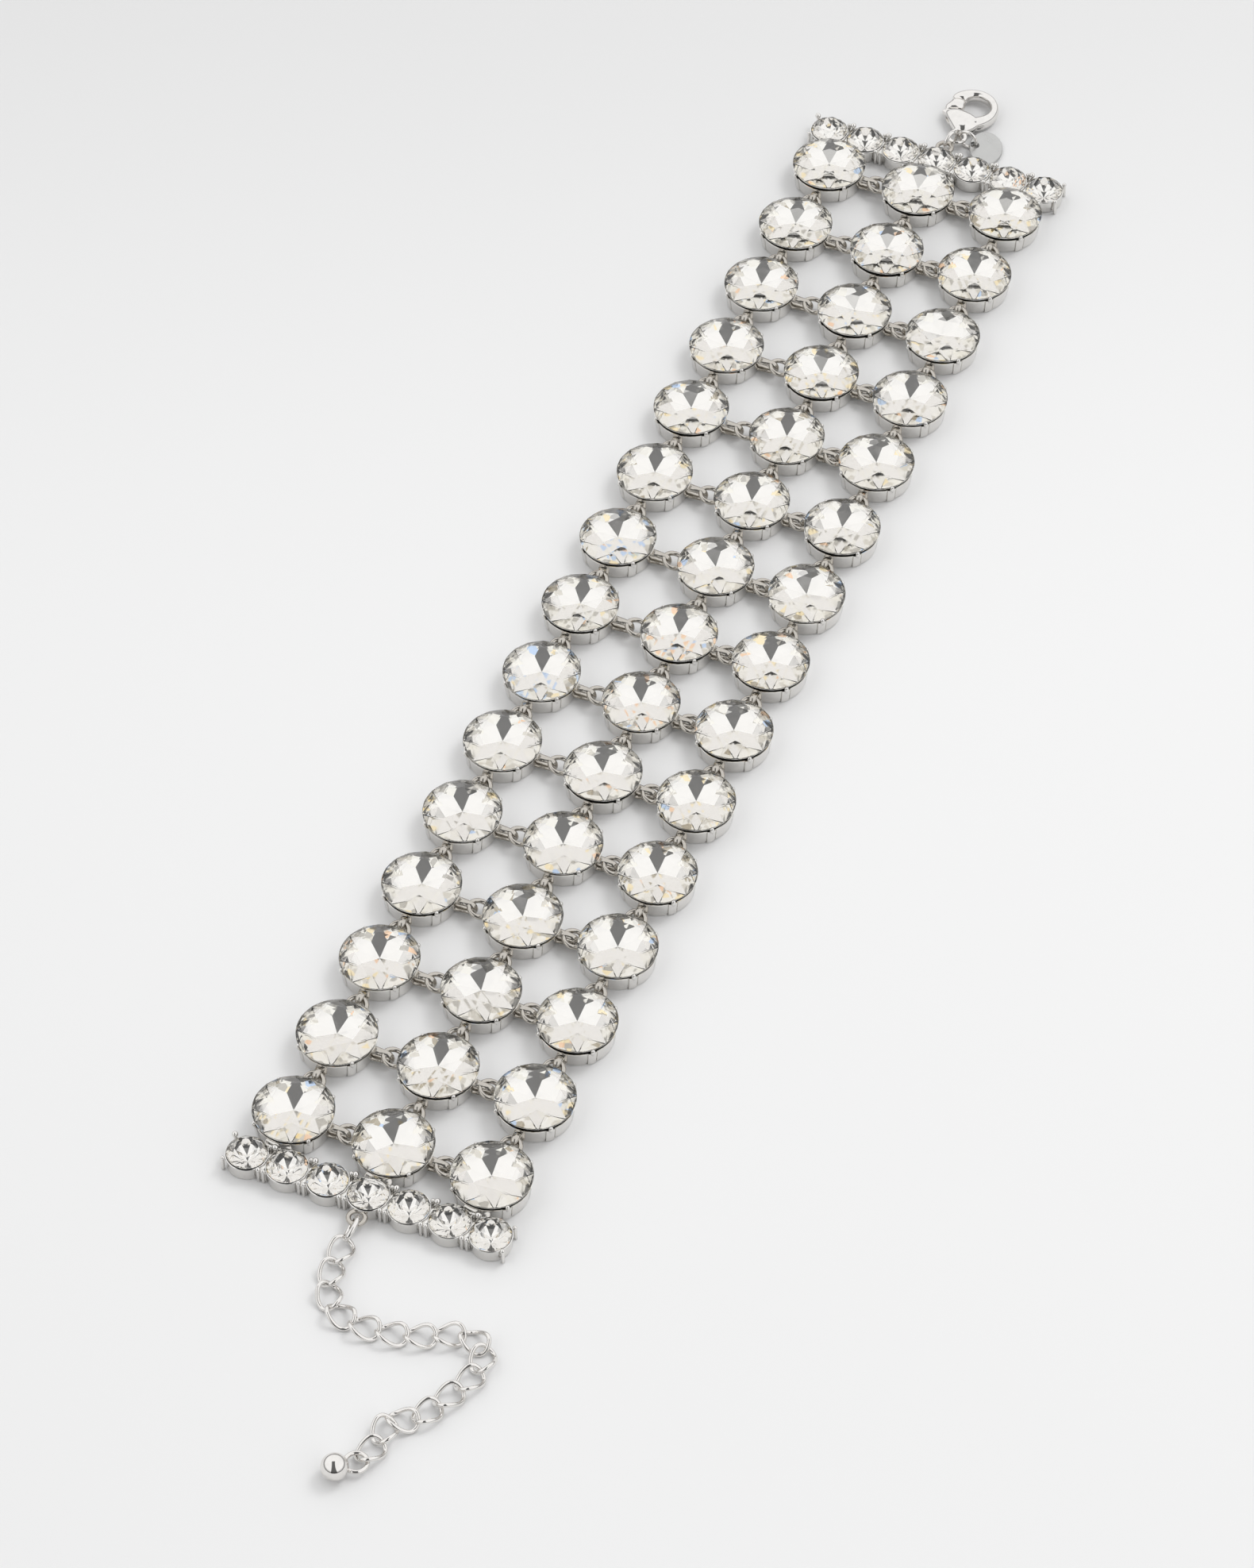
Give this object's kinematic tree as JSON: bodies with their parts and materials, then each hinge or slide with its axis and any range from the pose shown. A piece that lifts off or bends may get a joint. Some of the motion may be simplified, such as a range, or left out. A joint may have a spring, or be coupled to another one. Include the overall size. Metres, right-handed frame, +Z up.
{
  "type": "choker necklace",
  "caption": "Wide choker necklace of round foil-backed crystals in linked cups, with small-stone end bars, a lobster clasp and an extension chain that ends in a ball.",
  "frame": {"origin": "on the surface that the necklace lies on, under the middle of the centre stone's cup", "axes": "+Z up, away from the surface; +Y along the strip towards the clasp; +X towards the right-hand lane of stones"},
  "size_m": [0.0583, 0.3421, 0.0058],
  "materials": {
    "crystal": "clear cut crystal with a foil back, in a polished metal cup",
    "plated_metal": "polished, rhodium-coloured plating",
    "tag_metal": "plain satin"
  },
  "bodies": {
    "necklace": {"stone_left_2": "crystal", "stone_left_3": "crystal", "stone_left_4": "crystal", "stone_left_5": "crystal", "stone_left_6": "crystal", "stone_left_7": "crystal", "stone_left_8": "crystal", "stone_left_9": "crystal", "stone_left_10": "crystal", "stone_left_11": "crystal", "stone_left_12": "crystal", "stone_left_13": "crystal", "stone_left_14": "crystal", "stone_middle_2": "crystal", "stone_middle_3": "crystal", "stone_middle_4": "crystal", "stone_middle_5": "crystal", "stone_middle_6": "crystal", "stone_middle_7": "crystal", "stone_middle_8": "crystal", "stone_middle_9": "crystal", "stone_middle_10": "crystal", "stone_middle_11": "crystal", "stone_middle_12": "crystal", "stone_middle_13": "crystal", "stone_middle_14": "crystal", "stone_right_2": "crystal", "stone_right_3": "crystal", "stone_right_4": "crystal", "stone_right_5": "crystal", "stone_right_6": "crystal", "stone_right_7": "crystal", "stone_right_8": "crystal", "stone_right_9": "crystal", "stone_right_10": "crystal", "stone_right_11": "crystal", "stone_right_12": "crystal", "stone_right_13": "crystal", "stone_right_14": "crystal", "clasp_end_bar": "plated_metal", "chain_end_bar": "plated_metal", "extension_chain": "plated_metal", "chain_ball": "plated_metal", "clasp_body": "plated_metal", "clasp_jump_ring": "plated_metal", "tag_ring": "plated_metal", "tag": "tag_metal"},
    "lever": {"clasp_lever": "plated_metal"}
  },
  "joints": [
    {"name": "clasp_lever_hinge", "type": "hinge", "parent": "necklace", "child": "lever", "pos_m": [-0.0022, 0.1465, 0.0016], "axis": [0, 0, -1], "range_deg": [0, 28], "stiffness_Nm_per_rad": 0.0002, "springref_deg": -11.46}
  ]
}
